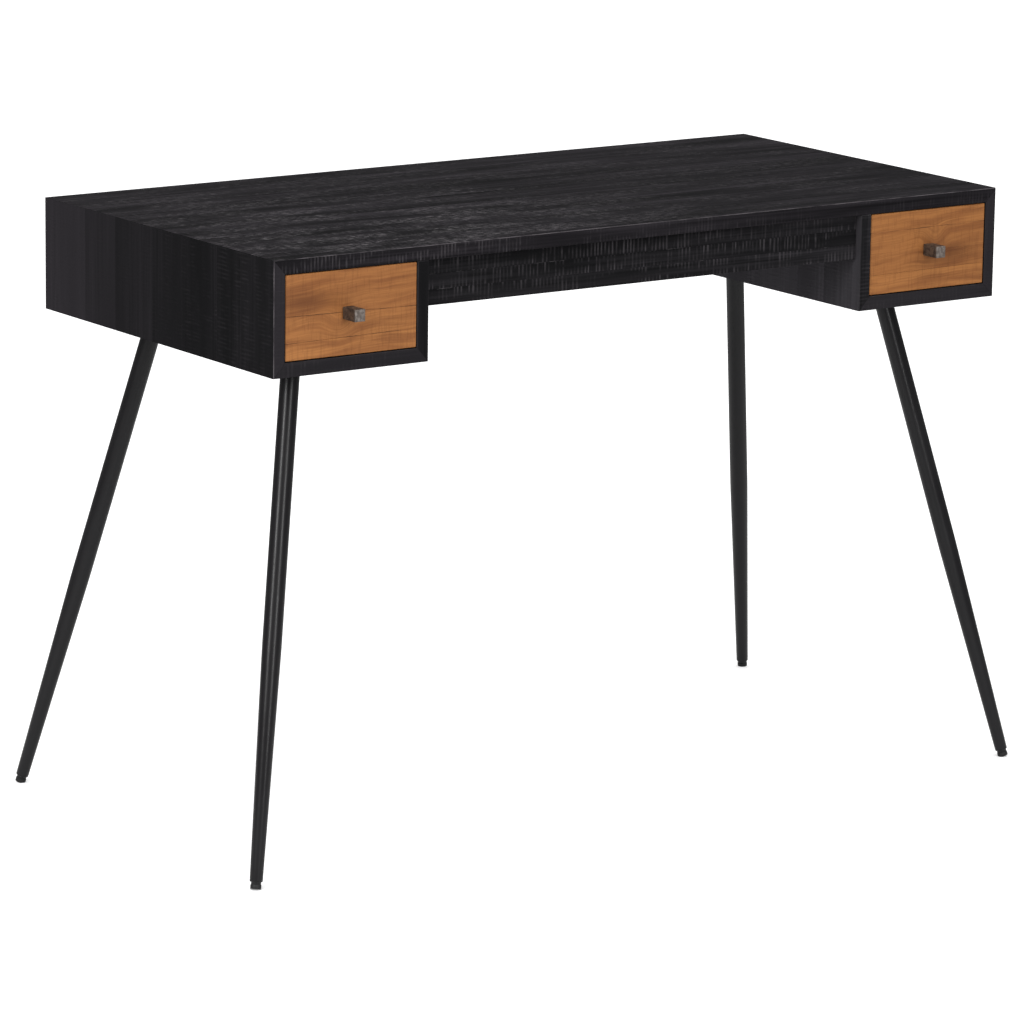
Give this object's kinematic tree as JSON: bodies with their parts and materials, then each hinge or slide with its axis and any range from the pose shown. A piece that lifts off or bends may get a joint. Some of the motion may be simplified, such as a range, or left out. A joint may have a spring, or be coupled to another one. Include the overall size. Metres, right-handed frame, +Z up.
{
  "type": "writing desk",
  "caption": "Writing desk with a drawer compartment at each end, a knee space between them and splayed, tapered steel legs.",
  "frame": {"origin": "on the floor, under the middle of the desktop", "axes": "+X to the right as seen from the front, along the width; +Y from front to back; +Z up"},
  "size_m": [1.1766, 0.5881, 0.76],
  "materials": {
    "black_wood": "black stained rough-sawn reclaimed wood",
    "teak": "oiled teak with fine saw marks",
    "drawer_wood": "plain sanded wood",
    "black_steel": "satin black powder coat",
    "zinc_steel": "bright zinc plated",
    "aged_metal": "dark antique patina",
    "black_nylon": "moulded, fine matt"
  },
  "bodies": {
    "case": {"desktop": "black_wood", "apron": "black_wood", "back_panel": "black_wood", "outer_side_left": "black_wood", "inner_side_left": "black_wood", "bottom_panel_left": "black_wood", "cabinet_rail_l_left": "zinc_steel", "cabinet_rail_r_left": "zinc_steel", "outer_side_right": "black_wood", "inner_side_right": "black_wood", "bottom_panel_right": "black_wood", "cabinet_rail_l_right": "zinc_steel", "cabinet_rail_r_right": "zinc_steel", "leg_front_left": "black_steel", "foot_plug_front_left": "black_nylon", "leg_screw_front_left_1": "zinc_steel", "leg_screw_front_left_2": "zinc_steel", "leg_screw_front_left_3": "zinc_steel", "leg_screw_front_left_4": "zinc_steel", "leg_front_right": "black_steel", "foot_plug_front_right": "black_nylon", "leg_screw_front_right_1": "zinc_steel", "leg_screw_front_right_2": "zinc_steel", "leg_screw_front_right_3": "zinc_steel", "leg_screw_front_right_4": "zinc_steel", "leg_back_left": "black_steel", "foot_plug_back_left": "black_nylon", "leg_screw_back_left_1": "zinc_steel", "leg_screw_back_left_2": "zinc_steel", "leg_screw_back_left_3": "zinc_steel", "leg_screw_back_left_4": "zinc_steel", "leg_back_right": "black_steel", "foot_plug_back_right": "black_nylon", "leg_screw_back_right_1": "zinc_steel", "leg_screw_back_right_2": "zinc_steel", "leg_screw_back_right_3": "zinc_steel", "leg_screw_back_right_4": "zinc_steel"},
    "drawer_left": {"drawer_front_left": "teak", "drawer_side_l_left": "drawer_wood", "drawer_side_r_left": "drawer_wood", "drawer_back_left": "drawer_wood", "drawer_bottom_left": "drawer_wood", "knob_left": "aged_metal", "knob_screw_left": "zinc_steel", "drawer_rail_l_left": "zinc_steel", "drawer_rail_r_left": "zinc_steel"},
    "drawer_right": {"drawer_front_right": "teak", "drawer_side_l_right": "drawer_wood", "drawer_side_r_right": "drawer_wood", "drawer_back_right": "drawer_wood", "drawer_bottom_right": "drawer_wood", "knob_right": "aged_metal", "knob_screw_right": "zinc_steel", "drawer_rail_l_right": "zinc_steel", "drawer_rail_r_right": "zinc_steel"},
    "middle_rails_left": {"middle_rail_l_left": "zinc_steel", "middle_rail_r_left": "zinc_steel"},
    "middle_rails_right": {"middle_rail_l_right": "zinc_steel", "middle_rail_r_right": "zinc_steel"}
  },
  "joints": [
    {"name": "drawer_left_slide", "type": "slide", "parent": "case", "child": "drawer_left", "axis": [0, -1, 0], "range_m": [0, 0.38]},
    {"name": "drawer_right_slide", "type": "slide", "parent": "case", "child": "drawer_right", "axis": [0, -1, 0], "range_m": [0, 0.38]},
    {"name": "middle_rails_left_slide", "type": "slide", "parent": "case", "child": "middle_rails_left", "axis": [0, -1, 0], "range_m": [0, 0.19]},
    {"name": "middle_rails_right_slide", "type": "slide", "parent": "case", "child": "middle_rails_right", "axis": [0, -1, 0], "range_m": [0, 0.19]}
  ],
  "couplings": [
    {"joint": "middle_rails_left_slide", "follows": "drawer_left_slide", "ratio": 0.5},
    {"joint": "middle_rails_right_slide", "follows": "drawer_right_slide", "ratio": 0.5}
  ]
}
